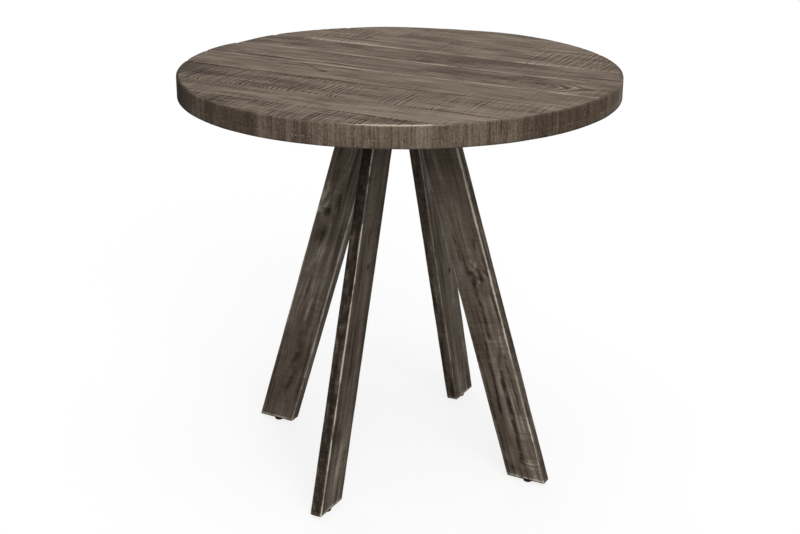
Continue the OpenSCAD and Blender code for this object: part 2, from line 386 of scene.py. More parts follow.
def weighed(tree, made, start, weights):
    """The start plus each pattern times its weight. A name that isn't a pattern is a mark of the mesh."""
    total = start
    for name, weight in weights.items():
        source = made[name] if name in made else mark(tree, name)
        total = reckoned(tree, "MULTIPLY_ADD", source, weight, total)
    return total


def tones(tree, source, stops):
    """A colour ramp: each stop is a place from 0 to 1 and a colour in screen values from 0 to 255."""
    made = node(tree, "ValToRGB", {"Fac": source})
    elements = made.color_ramp.elements
    while len(elements) < len(stops):
        elements.new(0.5)
    for element, (place, colour) in zip(elements, stops):
        element.position = place
        element.color = (*linear(colour), 1.0)
    return made.outputs["Color"]


def linear(colour):
    """Screen values from 0 to 255 as light: the usual curve with a power of 2.4."""
    c = np.array(colour) / 255
    return tuple(np.where(c <= 0.04045, c / 12.92, ((c + 0.055) / 1.055) ** 2.4))


def mix_finish(
    name, patterns, colour, stops, rough, relief, depth_mm, gloss=0.5, metallic=0.0, comb=None
):
    """A finish of noise patterns: weighed sums of them give a colour ramp's place, the roughness and the
    bumps. A comb is one pattern times one mark, which cuts the marked places into teeth."""
    material = bpy.data.materials.new(name)
    material.use_nodes = True
    tree = material.node_tree
    made = {key: noise(tree, *pattern) for key, pattern in patterns.items()}
    if comb:
        made["comb"] = reckoned(tree, "MULTIPLY", made[comb[0]], mark(tree, comb[1]))
    height = weighed(tree, made, 0.0, relief)
    bump = node(tree, "Bump", {"Height": height, "Strength": 1.0, "Distance": depth_mm * MM})
    shader = tree.nodes["Principled BSDF"].inputs
    feed(shader["Base Color"], tones(tree, weighed(tree, made, *colour), stops))
    feed(shader["Roughness"], weighed(tree, made, *rough))
    feed(shader["Normal"], bump.outputs["Normal"])
    feed(shader["Specular IOR Level"], gloss)
    feed(shader["Metallic"], metallic)
    print(name, "has", len(tree.nodes), "nodes")
    return material


print("middle grey of the screen as light:", linear((128, 128, 128)))

# %% [markdown]
# ## The stained boards
#
# The top is hardwood, sawn rough, stained grey-brown and rubbed back. Stain stays dark in the saw marks and
# leaves the high places pale. The mesh carries four marks for this: hollow, worn, tone and sawn. The hollow
# mark also carries painted shade, in the grooves and on eased edges that slope away from the light, and the
# worn mark carries painted highlights on edges that face the light. Fine grain is too thin for the mesh, so
# it is noise drawn out along the grain that the mesh carries.

# %% The finish of the boards' faces
boards_finish = mix_finish(
    "rough_sawn_stained_boards",
    {
        "fine": ("grain", (14, 700, 90), 5, 0.65),
        "thread": ("grain", (9, 240, 60), 5, 0.72, 0.4),
        "streak": ("grain", (3, 70, 30), 5, 0.7, 0.5),
        "blotch": ("table", (11, 24, 9), 6, 0.72, 0.6),
        "cross": ("table", (330, 15, 16), 4, 0.65),
    },
    (-0.74, {
        "fine": 0.3, "thread": 0.95, "streak": 0.5, "blotch": 0.38, "cross": 0.2, "comb": 0.6,
        "sawn": -0.3, "tone": 0.2, "hollow": -0.46, "worn": 0.36,
    }),
    [(0.0, (40, 33, 27)), (0.3, (86, 74, 63)), (0.5, (118, 105, 92)), (0.72, (139, 125, 111)),
     (1.0, (176, 162, 146))],
    (0.6, {"fine": 0.2, "hollow": 0.2, "worn": -0.15}),
    {"fine": 0.5, "thread": 0.5, "streak": 0.3, "cross": 0.4, "comb": 1.0},
    0.9, gloss=0.08, comb=("cross", "sawn"),
)

# %% [markdown]
# ## The sawn rim
#
# The rim was cut across the boards and never sanded smooth. Its marks stand upright, from the top edge to
# the lower edge. Noise that is fine along X and Y and very long along Z gives such lines all the way round,
# with no seam, because it is a solid pattern that the rim merely cuts through.

# %% The finish of the rim
rim_wood_finish = mix_finish(
    "sawn_rim",
    {
        "fine": ("table", (330, 330, 9), 5, 0.7),
        "broad": ("table", (60, 60, 5), 4, 0.65),
        "speck": ("table", (380, 380, 230), 4, 0.7),
    },
    (-0.38, {"fine": 0.7, "broad": 0.34, "speck": 0.8, "tone": 0.26, "hollow": -0.42, "worn": 0.9}),
    [(0.0, (38, 30, 24)), (0.3, (82, 70, 59)), (0.5, (113, 100, 87)), (0.72, (138, 125, 112)),
     (1.0, (186, 175, 160))],
    (0.58, {"fine": 0.2, "hollow": 0.2, "worn": -0.3}),
    {"fine": 0.7, "broad": 0.3, "speck": 0.3},
    0.9, gloss=0.08,
)

# %% [markdown]
# ## The planed underside
#
# Below, the boards are planed and only thinly stained, with plain grain along each piece. One helper makes
# the finish for each direction of the grain, because the stain is the same.

# %% The finish of hidden wood


def planed_finish(name, scale, place="table"):
    """Even grain drawn out along one axis of the table, or along the grain that the mesh carries."""
    return mix_finish(
        name,
        {
            "fine": (place, scale, 5, 0.6),
            "broad": (place, tuple(0.14 * k for k in scale), 3, 0.6, 0.6),
            "blotch": (place, (8, 8, 8), 3, 0.5),
        },
        (0.0, {"fine": 0.4, "broad": 0.4, "blotch": 0.25}),
        [(0.2, (78, 62, 48)), (0.45, (112, 92, 72)), (0.6, (130, 109, 87)), (0.85, (150, 128, 104))],
        (0.5, {"fine": 0.25}),
        {"fine": 0.7, "broad": 0.3},
        0.3, gloss=0.35,
    )


planed_along_x = planed_finish("planed_underside", (16, 420, 420))
planed_along_y = planed_finish("planed_batten", (420, 16, 420))
planed_ring = planed_finish("planed_ring", (16, 420, 420), "grain")

# %% [markdown]
# ## Saw marks and joints of the top
#
# The band saw left scores straight across the boards, about a centimetre apart, deep on some boards and
# almost sanded away on others. The long edges are eased by hand, so every joint is a shallow groove. Tables
# tell how each board and each joint differs, and all numbers are millimetres or shares of one.

# %% Say where the saw bit and how the joints are eased

# Middle along the board, half length and strength of each stretch where the saw bit.
SAW_STRETCHES = {
    1: [(0, 420, 1.0)],
    2: [(-200, 130, 0.45), (60, 300, 0.22)],
    3: [(-190, 260, 1.0), (220, 170, 0.55)],
    4: [(0, 380, 0.12)],
    5: [(-330, 90, 0.35), (150, 200, 0.15)],
    6: [(-210, 160, 0.35), (60, 120, 0.3)],
    7: [(250, 120, 1.0), (-250, 80, 0.8), (10, 60, 0.55)],
    8: [(-180, 120, 0.3), (240, 90, 0.3)],
}
LEAST_BITE = 0.16
SCORES = (9.5, 1.5)
FINE_SCORES = (4.2, 1.0)
# By board: its tone, how much paler it grows towards the right, and how low it lies.
BOARD_TONES = {1: 0.0, 2: 0.22, 3: 0.0, 4: 0.2, 5: -0.05, 6: -0.2, 7: 0.08, 8: 0.12}
BOARD_FADE = {1: 0.6, 2: 0.85, 3: 0.75}
BOARD_DROP = {1: 0.1, 2: 0.5, 3: 0.15, 4: 0.35, 5: 0.1, 6: 0.6, 7: 0.1, 8: 0.45}
# By joint: painted shade on the eased edge in front of it, which slopes away from the light, a painted
# highlight on the eased edge behind it, which slopes towards the light, and how wide and deep its edges are
# eased.
JOINTS = {n: board_boxes[n][1][1] for n in range(1, 8)}
JOINT_SHADE = {1: 1.3, 2: 1.1, 3: 1.7, 4: 0.6, 5: 0.65, 6: 0.75, 7: 0.7}
JOINT_HIGHLIGHT = {1: 0.4, 2: 0.22, 3: 0.3, 4: 1.5, 5: 1.4, 6: 1.3, 7: 0.6}
EASED_WIDTH = {1: 8.0, 2: 8.0, 3: 13.0, 4: 8.5, 5: 9.0, 6: 9.0, 7: 7.0}
EASED_DEPTH = {1: 1.4, 2: 1.4, 3: 2.3, 4: 1.2, 5: 1.2, 6: 1.5, 7: 1.2}


def saw_marks(x, y, number):
    """Bite, height, hollow and worn: coarse and fine scored lines times a bite that differs by stretches."""
    saw_x = x + 0.03 * y + 1.2 * drift(y / 40, x / 300, 5)
    bite = np.full(np.shape(x), LEAST_BITE)
    for centre, half, strength in SAW_STRETCHES[number]:
        bite = np.maximum(bite, strength * ramp(np.abs(x - centre), half * 1.15, half * 0.55))
    bite = bite * uneven(x / 40, y / 45, 70 + number, 0.95, 0.6, 0.1, 1.3)
    broken = uneven(saw_x / 8, y / 13, 120 + number, 0.75, 0.85, 0.12, 1.2)
    strong = scored(saw_x, *SCORES, 80 + number, 0.35) * broken
    weak = scored(saw_x + 3, *FINE_SCORES, 90 + number, 0.1) * (1.15 - broken)
    height = -bite * (0.8 * strong + 0.35 * weak)
    # The scores are darker, with the stain kept in them and with painted shade in the grooves. The pale line
    # beside each strong score is a painted highlight.
    hollow = bite * (1.05 * strong + 0.4 * weak)
    worn = bite * 0.7 * scored(saw_x - 3.2, *SCORES, 80 + number, 0.35) * broken
    return bite, height, hollow, worn


def joint_easing(x, y, joint, side):
    """Depth by which a long edge is rounded over: a power of the nearness to the joint, varied along it. On
    its right, joint 3 is eased half as deep."""
    reach = EASED_WIDTH[joint] * (1 + 0.45 * drift(x / 55, y * 0 + joint, 40 + joint + 10 * side))
    depth = EASED_DEPTH[joint] * (1 + 0.4 * drift(x / 90, y * 0 + joint, 60 + joint + 10 * side))
    if joint == 3:
        depth = depth * (0.5 + 0.5 * ramp(x, 260, 60))
    near = np.clip(1 - np.abs(y - JOINTS[joint]) / reach, 0, 1)
    return depth * near**1.8, near


print("joints at", {n: round(float(y), 1) for n, y in JOINTS.items()})

# %% [markdown]
# ## Flaws of the boards
#
# One board has a crack beside a small knot, one a swirl where a branch grew, one torn grain, and two have
# rear edges painted dark as shade, one of them broken down. Each flaw is a function of the place on the top,
# made of bell curves round a point or a line. A flaw changes what it has to and hands the rest on, so all
# flaws are called in the same way.

# %% Carve the crack, the swirl and the torn grain
CRACK = (-195, -36), (80, -42)
SWIRL = (270.0, 10.0)
# Ovals: the middle along and across the boards, then both half sizes.
KNOT = (-112, -82, 9, 5)
KNOT_BOW = (-120, -72, 34, 15)
SWIRL_BOW = (*SWIRL, 95, 40)
SWIRL_CORE = (215, 2, 85, 15)
SWIRL_STAIN = (140, 22, 150, 30)
TORN_PLACE = (30, 95, 110, 24)


def crack_and_knot(x, y, height, hollow, worn, grain_y, tone):
    """A slanting crack, a bell curve of the distance to a line, which ends at a small dark knot, and a short
    fine line across the grain."""
    (start_x, start_y), (run_x, run_y) = CRACK
    along = ((x - start_x) * run_x + (y - start_y) * run_y) / (run_x**2 + run_y**2)
    along = np.clip(along, 0, 1)
    wobble = 2.5 * drift(along * 9, along * 0, 34)
    away = np.hypot(x - start_x - run_x * along, y - start_y - run_y * along + wobble)
    crack = 0.7 * bell(away, 0, 1.6) * ramp(np.sin(np.pi * np.clip(along, 0.02, 0.98)), 0, 0.5)
    knot = spot(x, y, *KNOT)
    bow = spot(x, y, *KNOT_BOW)
    grain_y = grain_y - (y + 75) * 0.7 * bow
    line = bell(x, -204, 1.4) * ramp(y, -104, -92) * ramp(y, -44, -56)
    height = height - crack - 0.8 * knot - 0.3 * line
    hollow = hollow + 0.7 * crack + 0.75 * knot + 0.3 * line
    return height, hollow, worn, grain_y, tone + 0.25 * bow


def swirl_and_ridge(x, y, height, hollow, worn, grain_y, tone):
    """Rings round a knot, as a sine of the distance to it, and a wavy groove painted dark as shade, with a
    painted highlight on the ridge behind it.
    """
    slant = y - SWIRL[1] + 0.12 * (x - SWIRL[0])
    far = np.hypot((x - SWIRL[0]) / 2.4, slant) + 7 * drift(x / 34, y / 15, 35)
    far = far + 2 * drift(x / 11, y / 6, 37)
    inside = bell(far, 24, 17) * (0.1 + 0.9 * ramp(x, SWIRL[0] - 30, SWIRL[0] + 60))
    rings = np.sin(far * 2 * np.pi / (8.5 + 0.06 * far))
    bow = spot(x, y, *SWIRL_BOW)
    grain_y = grain_y * (1 - bow) + (far * 2.2) * bow
    height = height + 0.22 * inside * (rings - 1)
    hollow = hollow + 0.45 * inside * np.clip(rings, 0, 1) + 0.3 * bell(far, 0, 6)
    core = spot(x, slant, *SWIRL_CORE) * uneven(x / 16, y / 4, 39, 0.7, 0.8, 0, 1.3)
    dark = spot(x, y, *SWIRL_STAIN) * uneven(x / 24, y / 5, 41, 1, 0.8, 0.1, 1.6) + 0.6 * core
    tone = tone - 0.75 * dark + 1.2 * inside * np.clip(-rings, 0, 1) + 0.45 * bell(x, 345, 26)
    worn = worn + 0.5 * inside * np.clip(-rings - 0.3, 0, 1)
    path = -17 + 5 * drift(x / 70, y * 0, 36)
    length = ramp(x, -345, -290) * ramp(x, -30, -90)
    # A painted shadow in the groove and a painted highlight on the ridge behind it.
    height = height - 0.8 * length * bell(y, path - 3, 3.2)
    hollow = hollow + 0.75 * length * bell(y, path - 3, 2.8)
    worn = worn + 0.75 * length * bell(y, path + 3.5, 3.0)
    return height, hollow, worn, grain_y, tone


def torn_grain(x, y, height, hollow, worn, grain_y, tone):
    """Torn grain, which is drift under an oval bell, and a dished band, a bell curve round a wavy line."""
    torn = spot(x, y, *TORN_PLACE)
    rough = drift(x / 14, y / 4, 31)
    band = bell(x, 165, 90) * bell(y, 140 + 4 * drift(x / 50, y * 0, 32), 11)
    height = height + 0.35 * torn * (rough - 1) - 0.9 * band
    hollow = hollow + 0.5 * torn * np.clip(rough, 0, 1)
    return height, hollow, worn, grain_y, tone - 0.6 * band


def broken_edge(x, y, height, hollow, worn, grain_y, tone):
    """The rear edge of board 3, broken down on its left: a bell curve of drifting width beside the joint,
    painted dark as shade on the slope that faces away from the light.
    """
    band = ramp(x, 160, 60) * bell(y, JOINTS[3] - 4, 8 + 3 * drift(x / 60, y * 0, 33))
    return height - 0.5 * band, hollow + 0.7 * band, worn, grain_y, tone


def eased_edge_shade(x, y, height, hollow, worn, grain_y, tone):
    """Painted shade along the rear edge of board 1, where it is eased away from the light: a bell curve of
    drifting width beside the joint.
    """
    hollow = hollow + 0.5 * bell(y, JOINTS[1] - 4, 5 + 3 * drift(x / 50, y * 0, 38))
    return height, hollow, worn, grain_y, tone


FLAWS = {1: eased_edge_shade, 3: broken_edge, 4: crack_and_knot, 5: swirl_and_ridge, 6: torn_grain}
print("boards with flaws:", list(FLAWS))

# %% [markdown]
# ## The whole relief of the top
#
# Saw marks, warp, grain, joints and flaws add up to one height and a few marks at each place of the top. It
# is one function of the place, so it can be carved into any mesh that samples it. Nothing rises above the
# level of the construction's own top.

# %% Put the relief of the top together
SUNKEN_END = (-392, 75, 40, 42)


def top_marks(x, y, number):
    """Height below the table's level, and the marks, of a board: the saw's scores less warp, grain, easing
    and flaws. The left end has sunk a little, and the rearmost strip lies low; both are painted darker as
    shade on their slopes."""
    bite, height, hollow, worn = saw_marks(x, y, number)
    lean = drift(x / 260, y / 70, 6)
    height = height - 0.5 * BOARD_DROP[number] - 0.25 * (1 + lean)
    grain_y = y + 3.5 * drift(x / 140, y / 30, 7)
    fade = BOARD_FADE.get(number, 0) * x / TOP_RADIUS
    tone = BOARD_TONES[number] + fade + 0.5 * drift(x / 85, y / 16, 8) + 0.35 * drift(x / 40, y / 7, 9)
    ridge = drift(x / 60, grain_y / 3.2, 10 + number)
    height = height + 0.12 * (ridge - 1)
    hollow = hollow + 0.3 * np.clip(-ridge - 0.35, 0, 1)
    for joint in (number - 1, number):
        if joint in JOINTS:
            facing_back = joint == number
            depth, near = joint_easing(x, y, joint, int(facing_back))
            height = height - depth
            # The eased edge in front of a joint is painted dark as shade, the one behind it pale as a
            # highlight.
            if facing_back:
                hollow = hollow + JOINT_SHADE[joint] * near**1.2
            else:
                rub_and_highlight_share = 0.62 + 0.5 * drift(x / 45, y * 0, 20 + joint)
                worn = worn + JOINT_HIGHLIGHT[joint] * np.minimum(1.7 * near, 1) * rub_and_highlight_share
    if number in FLAWS:
        height, hollow, worn, grain_y, tone = FLAWS[number](x, y, height, hollow, worn, grain_y, tone)
    left_end = spot(x, y, *SUNKEN_END)
    low_back = ramp(x, 60, -60) * ramp(y, 330, 385) * ramp(x, -330, -250)
    height = height - 2.0 * left_end - 1.8 * low_back
    # Both dips are painted darker too, as shade on their slopes.
    tone = tone - 0.45 * left_end - 0.3 * low_back
    height = np.minimum(height, 0)
    marks = {
        "hollow": np.clip(hollow, 0, 1.2), "worn": np.clip(worn, 0, 1), "tone": np.clip(tone, -1, 1),
        "sawn": np.clip(bite, 0, 1), "flow_y": grain_y,
    }
    return height, marks


middle_line = np.linspace(-TOP_RADIUS, TOP_RADIUS, 9)
print("depth along the middle", np.round(-top_marks(middle_line, 0 * middle_line, 5)[0], 2))

# %% [markdown]
# ## Relief of the rim
#
# Upright scores of the saw run down the whole rim, through boards and ring alike. The depth depends on the
# place round the rim, with a little wander on the way down. The angles below tell where the rim is smoother,
# darker or paler than elsewhere. The rim grows darker towards its left end as painted shade, where it turns
# away from the light, and its scores are darkened with stain and with painted shade.

# %% Make the rim's relief
ROUND_LENGTH = 2 * math.pi * TOP_RADIUS
RIM_CELL = ROUND_LENGTH / TABLE
SMOOTH_LEFT, SMOOTH_RIGHT, SMOOTH_FRONT, SHADED_END, PALE_END = np.radians([253, 340, 271, 222, 13])


def rim_marks(turn, z):
    """Depth of the rim's scores in millimetres, and its marks, at an angle round the table and a height: two
    sets of scored lines times a bite that drifts, less where the rim is smooth."""
    round_turn = turn % (2 * np.pi)
    arc = round_turn * TOP_RADIUS
    wander = 0.8 * drift(arc / 50, z / 14, 50)
    coarse = scored(arc + wander, RIM_CELL, 1.5, 51)
    fine = scored(arc + wander, RIM_CELL / 2, 0.8, 52)
    blocks = drift(arc / 34, z * 0, 53)
    left = ramp(np.abs(round_turn - SMOOTH_LEFT), 0.20, 0.13)
    right = ramp(np.abs(round_turn - SMOOTH_RIGHT), 0.22, 0.12)
    front = bell(round_turn, SMOOTH_FRONT, 0.14)
    # Painted shade: the rim grows darker towards its left end, where it turns away from the light.
    shaded_end = bell(round_turn, SHADED_END, 0.24)
    pale_end = bell((turn + 1) % (2 * np.pi), 1 + PALE_END, 0.13)
    bite = np.clip(0.7 + 0.5 * blocks, 0.15, 1.1) * (1 - 0.85 * left) * (1 - 0.6 * right)
    bite = bite * uneven(arc / 12, z / 16, 54, 0.8, 0.5, 0.2, 1.1)
    deep = bite * (0.5 * coarse + 0.25 * fine)
    bow = 0.35 * (1 + drift(arc / 130, z * 0, 55))
    # The scores are darkened with stain and painted shade, and the left end with painted shade.
    hollow = bite * (0.6 * coarse + 0.35 * fine) + 0.62 * shaded_end
    smooth_and_shaded = left + 0.55 * right + 0.4 * front + 0.75 * shaded_end
    tone = 0.28 * blocks + 0.25 * drift(arc / 9, z / 30, 56) - smooth_and_shaded
    tone = tone - 0.55 * np.cos(turn) ** 2 + 0.85 * pale_end
    marks = {"hollow": np.clip(hollow, 0, 1), "worn": 0 * deep, "tone": np.clip(tone, -1, 1)}
    return deep + 0.25 * bow, marks


print("scores round the rim about", round(RIM_CELL, 1), "mm apart")

# %% [markdown]
# ## Shape of a board
#
# A board is a grid of points over its face. In the middle boards the rows run from one end of the round to
# the other. The first and last boards end in points, where rows meet. Lower down, the outline is the same,
# but cut at the radius that the rounded rim has there. Near the rim the points are drawn in by its scores.

# %% Work out the outline and the points of a board
SAWN, RIM, UNDER = 0, 1, 2
JOINT_GAP = 0.12
SEAM_BEVEL = 0.2
RIM_REACH = 4.5
HIGHLIGHT_FRONT, SHADED_REAR, SHADED_RIGHT = np.radians([-62.5, 165, 60])


def rim_radius(drop):
    """Radius of the rim below the top: a quarter circle over the first two millimetres, then straight."""
    d = np.minimum(drop, RIM_ROUND)
    return TOP_RADIUS - RIM_ROUND + np.sqrt(RIM_ROUND**2 - (RIM_ROUND - d) ** 2)


def board_outline(number, p, q, radius):
    """Place on a board's face for p along and q across, both 0 to 1, cut to a radius. A middle board's half
    length is the root of the radius squared less y squared. An end board fans from its joint to the arc."""
    low = max(board_boxes[number][0][1] + JOINT_GAP, -TOP_RADIUS)
    high = min(board_boxes[number][1][1] - JOINT_GAP, TOP_RADIUS)
    if number in (1, 8):
        joint = high if number == 1 else low
        side = -1 if number == 1 else 1
        half = np.arccos(np.abs(joint) / radius)
        turn = side * np.pi / 2 + (2 * p - 1) * half
        y = joint + q * (radius * np.sin(turn) - joint)
        return radius * np.cos(turn) + 0 * q, y
    first, last = math.asin(low / TOP_RADIUS), math.asin(high / TOP_RADIUS)
    y = TOP_RADIUS * np.sin(first + (last - first) * q) + 0 * p
    return (2 * p - 1) * np.sqrt(radius**2 - y**2), y


def rim_pull(x, y, z, radius, marks):
    """Moves points near the rim inwards by the depth of the rim's scores, and blends the rim's marks in."""
    r = np.hypot(x, y)
    turn = np.arctan2(y, x)
    deep, rim = rim_marks(turn, z)
    share = ramp(r, radius - RIM_REACH, radius - 0.05)
    factor = 1 - share * deep / np.maximum(r, 1)
    blended = {k: marks[k] * (1 - share) + v * share for k, v in rim.items()}
    return x * factor, y * factor, {**marks, **blended}, share


def board_points(number, p, q, drop):
    """Points and marks of a board's shell at p, q and a drop below the face's own level."""
    x, y = board_outline(number, p, q, rim_radius(0.0))
    height, marks = top_marks(x, y, number)
    thickness = TABLE_TOP - BOARD_UNDER
    radius = rim_radius(drop) - SEAM_BEVEL * (drop > thickness - SEAM_BEVEL)
    x, y = board_outline(number, p, q, radius)
    z = TABLE_TOP + height * (1 - drop / thickness) - drop
    x, y, marks, share = rim_pull(x, y, z, radius, marks)
    turn = np.arctan2(y, x)
    # A painted highlight on the round top edge of the rim at the front, where it faces the light, over a
    # faint wear all round the edge.
    rub_and_highlight_share = uneven(x / 22, y / 22, 57, 0.75, 0.5, 0, 1)
    front = bell(turn, HIGHLIGHT_FRONT, 0.135)
    edge_wear_and_highlight = share * bell(drop, 0.5, 0.95) * rub_and_highlight_share
    marks["worn"] = np.clip(marks["worn"] + edge_wear_and_highlight * (0.08 + 1.6 * front), 0, 1)
    # Painted shade along the round top edge at the rear and on the right, where it turns away from the
    # light.
    rear = bell(turn, SHADED_REAR, 0.9) + 0.6 * bell(turn, SHADED_RIGHT, 0.8)
    rim_edge_shade = bell(np.hypot(x, y), TOP_RADIUS, 4.2) * uneven(x / 25, y / 25, 58, 0.8, 0.4, 0, 1)
    marks["hollow"] = np.clip(marks["hollow"] + 0.7 * rear * rim_edge_shade, 0, 1.2)
    marks.update(flow_x=x, flow_z=z)
    return np.stack([x, y, z], axis=-1), marks


print("radius over the round edge", rim_radius(np.array([0, 1, RIM_ROUND])))

# %% [markdown]
# ## Carve the boards
#
# The face is one grid. From its edge, walls go down in steps, close together where the edge is round. The
# underside is a strip of cells between both long walls, with a flat piece at each end. Each board then rides
# on the table and stands in for its construction part.

# %% Carve the eight boards
ALONG_STEP = 1.3
ACROSS_STEP = 1.7
WALL_DROPS = [0.0, 0.12, 0.5, 1.1, RIM_ROUND, 5.0, 8.5, 12.0, 15.5, 19.0, 22.0, 24.6]


def carve_board(number):
    """One board: its face as a grid, four walls, an underside in strips and a flat piece at each end."""
    ends = number in (1, 8)
    joint = JOINTS[1] if number == 1 else JOINTS[7]
    low, high = board_boxes[number]
    length = 2 * math.sqrt(TOP_RADIUS**2 - min(abs(low[1]), abs(high[1])) ** 2)
    arc = TOP_RADIUS * (math.asin(min(high[1] / TOP_RADIUS, 1)) - math.asin(max(low[1] / TOP_RADIUS, -1)))
    across = int((TOP_RADIUS - abs(joint) if ends else arc) / ACROSS_STEP) + 1
    p = np.linspace(0, 1, int(length / ALONG_STEP) + 1)[:, None]
    q = np.linspace(0, 1, across)[None, :]
    drops = np.array(WALL_DROPS + [TABLE_TOP - BOARD_UNDER])[None, :]
    shell = Shell()
    shell.grid(*board_points(number, p, q, 0.0), SAWN)
    rows = [shell.grid(*board_points(number, p, side + 0 * drops, drops), kind)
            for side, kind in ((0, UNDER), (1, RIM if ends else UNDER))]
    if not ends:
        for end in (0, 1):
            fan = shell.grid(*board_points(number, end + 0 * drops.T, q + 0 * drops.T, drops.T), RIM)
            shell.cap(fan[-1, :], UNDER)
    front, rear = rows[0][:, -1], rows[1][:, -1]
    shell.faces(np.stack([front[:-1], front[1:], rear[1:], rear[:-1]], axis=-1), UNDER)
    finishes = [boards_finish, rim_wood_finish, planed_along_x]
    set_in_place(f"top_board_{number}", "sawn", shell, finishes)


def set_in_place(part, look, shell, finishes):
    """Builds a piece that rides on the table and stands in for a part."""
    piece = build(f"{part}_{look}", shell, finishes)
    add_grain(piece.data)
    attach(piece, "table")
    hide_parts(part)


def add_grain(mesh):
    """Joins the three grain numbers, in metres, into one vector attribute that the finish reads."""
    grain = np.zeros((len(mesh.vertices), 3), np.float32)
    for column, name in enumerate(("flow_x", "flow_y", "flow_z")):
        values = np.zeros(len(grain), np.float32)
        mesh.attributes[name].data.foreach_get("value", values)
        grain[:, column] = values * MM
        mesh.attributes.remove(mesh.attributes[name])
    store = mesh.attributes.new("grain", "FLOAT_VECTOR", "POINT")
    store.data.foreach_set("vector", grain.ravel())


for number in BOARDS:
    carve_board(number)

# %% [markdown]
# ## The ring under the rim
#
# Eight arc pieces thicken the rim from below. Their section is a closed loop of points, rounded at the lower
# outer edge, and it is carried round an eighth of the circle. The outer wall takes the same rim marks as the
# boards above it, so the saw lines run on across the glue line.

# %% Carry the ring's section round
SEGMENTS = 8
RING_STEP = 1.5
WALL_POINTS = 10
RING_DROPS = (0.4, 2.5, 5.0, 7.5, 10.0, 13.0)


def ring_section():
    """Radius and height of the section's points, from the glue line down the outside and back inside."""
    outer, inner = TOP_RADIUS, TOP_RADIUS - RING_WIDTH
    low, high = RING_UNDER, BOARD_UNDER
    wall = [(outer - SEAM_BEVEL, high)] + [(outer, high - drop) for drop in RING_DROPS]
    turns = np.radians([30, 60, 90])
    corner_r, corner_z = outer - RIM_ROUND, low + RIM_ROUND
    wall += [(corner_r + RIM_ROUND * math.cos(a), corner_z - RIM_ROUND * math.sin(a)) for a in turns]
    under = [(outer - 8, low), (outer - 22, low), (outer - 46, low), (inner + 8, low), (inner + 0.8, low)]
    inside = [(inner, low + 0.8), (inner, low + 7), (inner, high), (outer - 30, high)]
    return np.array(wall + under + inside)


def carve_ring_segment(number):
    """One eighth of the ring: its section carried along an arc that ends a little short of the joints."""
    turn_step = 2 * math.pi / SEGMENTS
    short = JOINT_GAP / TOP_RADIUS
    start = (number - 1) * turn_step + short
    end = number * turn_step - short
    turn = np.linspace(start, end, int(TOP_RADIUS * (end - start) / RING_STEP) + 1)[:, None]
    section = ring_section()
    r, z = (k + 0 * turn for k in np.vstack([section, section[:1]]).T)
    deep, marks = rim_marks(turn + 0 * z, z)
    share = ramp(r, TOP_RADIUS - 3.0, TOP_RADIUS - 0.4)
    below = 0.25 * (1 + drift(turn * 12, r / 30, 58)) * ramp(z, RING_UNDER + 2, RING_UNDER)
    r = r - share * deep
    z = z + np.minimum(below, 0.45)
    rub_and_highlight_share = np.clip(drift(turn * 9, 0 * turn, 60) - 0.1, 0, 1)
    dotted = np.clip(drift(turn * 130, 0 * turn, 61), 0, 1)
    off = turn - (number - 0.5) * turn_step
    marks = {
        "tone": marks["tone"] * share + 0.15 * drift(np.full(1, number * 1.7), np.zeros(1), 59),
        "hollow": marks["hollow"] * share + 0.5 * bell(z, RING_UNDER, 1.6) * share,
        "worn": share * bell(z, BOARD_UNDER - 0.6, 0.9) * 0.7 * rub_and_highlight_share * dotted,
        "flow_x": r * np.sin(off) + 500 * number, "flow_y": r * np.cos(off), "flow_z": z,
    }
    points = np.stack([r * np.cos(turn), r * np.sin(turn), z], axis=-1)
    shell = Shell()
    wall, hidden = (shell.grid(points[:, part], {k: v[:, part] for k, v in marks.items()}, kind)
                    for kind, part in enumerate((slice(0, WALL_POINTS), slice(WALL_POINTS - 1, None))))
    loops = np.concatenate([wall, hidden[:, 1:-1]], axis=1)
    for end in (0, -1):
        shell.cap(loops[end], 1)
    set_in_place(f"rim_segment_{number}", "sawn", shell, [rim_wood_finish, planed_ring])


for number in range(1, SEGMENTS + 1):
    carve_ring_segment(number)

# %% [markdown]
# ## The stained legs
#
# The legs are darker than the top. Long streaks of stain run down them, knots interrupt the streaks, and the
# long corners are a little worn, with a painted highlight on the corners that face the light. The finish
# reads a grain vector whose first number runs down the leg.

# %% The finish of the legs
legs_finish = mix_finish(
    "dark_stained_legs",
    {
        "fine": ("grain", (12, 620, 620), 5, 0.65),
        "streak": ("grain", (3.5, 90, 90), 5, 0.7, 0.3),
        "blotch": ("grain", (14, 34, 34), 6, 0.7),
        "ripple": ("grain", (330, 14, 14), 3, 0.6),
    },
    (-0.20, {
        "fine": 0.42, "streak": 0.46, "blotch": 0.5, "ripple": 0.2, "comb": 0.5,
        "tone": 0.3, "hollow": -0.67, "worn": 1.0,
    }),
    [(0.0, (24, 20, 17)), (0.3, (57, 48, 40)), (0.5, (84, 73, 63)), (0.72, (113, 102, 90)),
     (1.0, (186, 178, 164))],
    (0.45, {"fine": 0.2, "hollow": 0.2, "worn": -0.1}),
    {"fine": 0.5, "streak": 0.4, "ripple": 0.3},
    0.4, gloss=0.14, comb=("ripple", "hollow"),
)

# %% [markdown]
# ## What time did to each leg
#
# Each leg has its own knots, stains, worn corners and painted corner highlights. They stand in tables, in
# millimetres down the leg and across its face, so a flaw moves by changing one number. They could be painted
# on the mesh by hand, but nobody could read from that what was painted.

# %% Say where the legs are knotted, stained and rubbed
SIDES = {"right": 0, "rear": 1, "left": 2, "front": 3}
